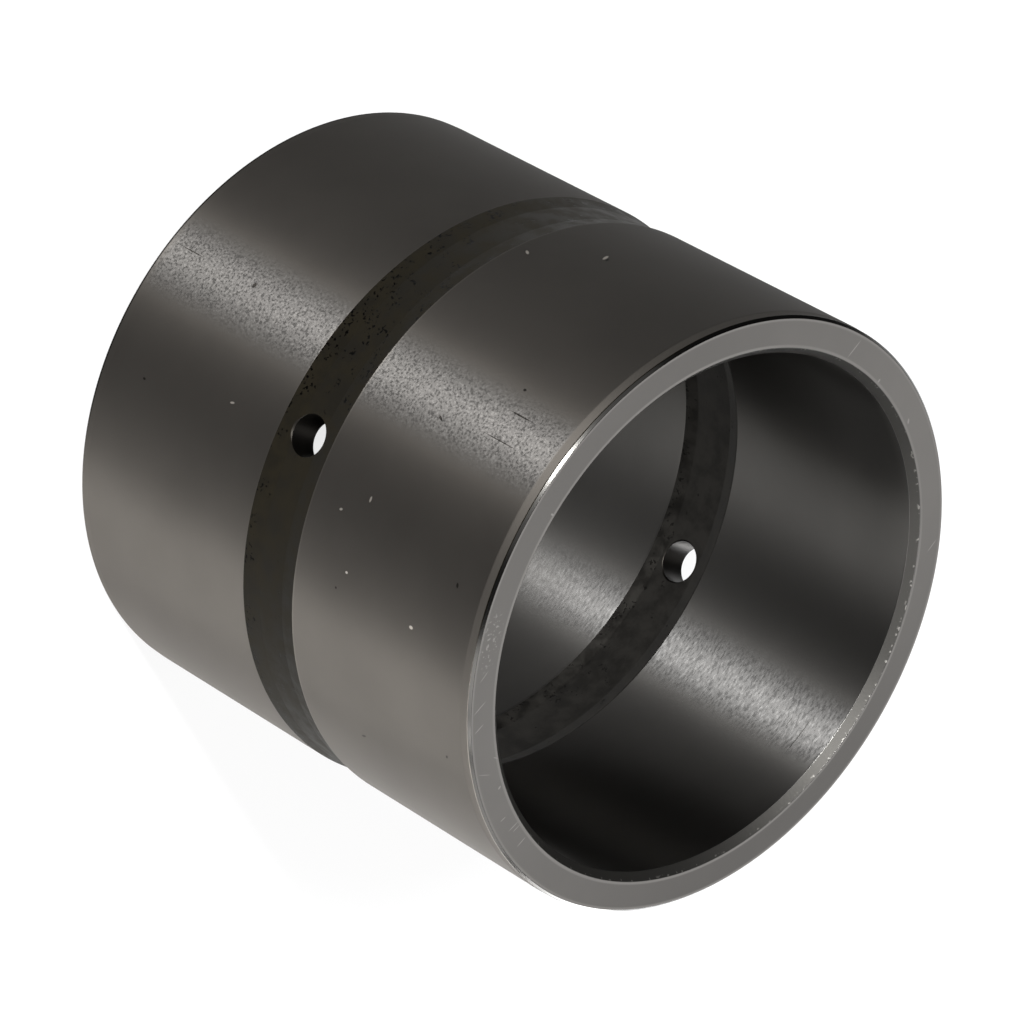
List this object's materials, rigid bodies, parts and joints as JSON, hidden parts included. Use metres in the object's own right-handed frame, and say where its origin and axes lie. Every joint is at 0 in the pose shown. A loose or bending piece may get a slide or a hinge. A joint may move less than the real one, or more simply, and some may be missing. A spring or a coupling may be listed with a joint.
{
  "type": "pin bushing",
  "caption": "Plain cylindrical steel bushing with a shallow grease groove round the outside and another round the bore, joined by radial oil holes.",
  "frame": {"origin": "middle of the lower end face, on the axis of the bore", "axes": "+Z along the bore's axis, from the lower end face to the upper one; the common axis of the oil holes is parallel to Y at mid-length"},
  "size_m": [0.115, 0.115, 0.11],
  "materials": {
    "ground_steel": "fine ground, lightly oiled, with darker turned grooves"
  },
  "bodies": {
    "root": {"bushing": "ground_steel"}
  },
  "joints": []
}
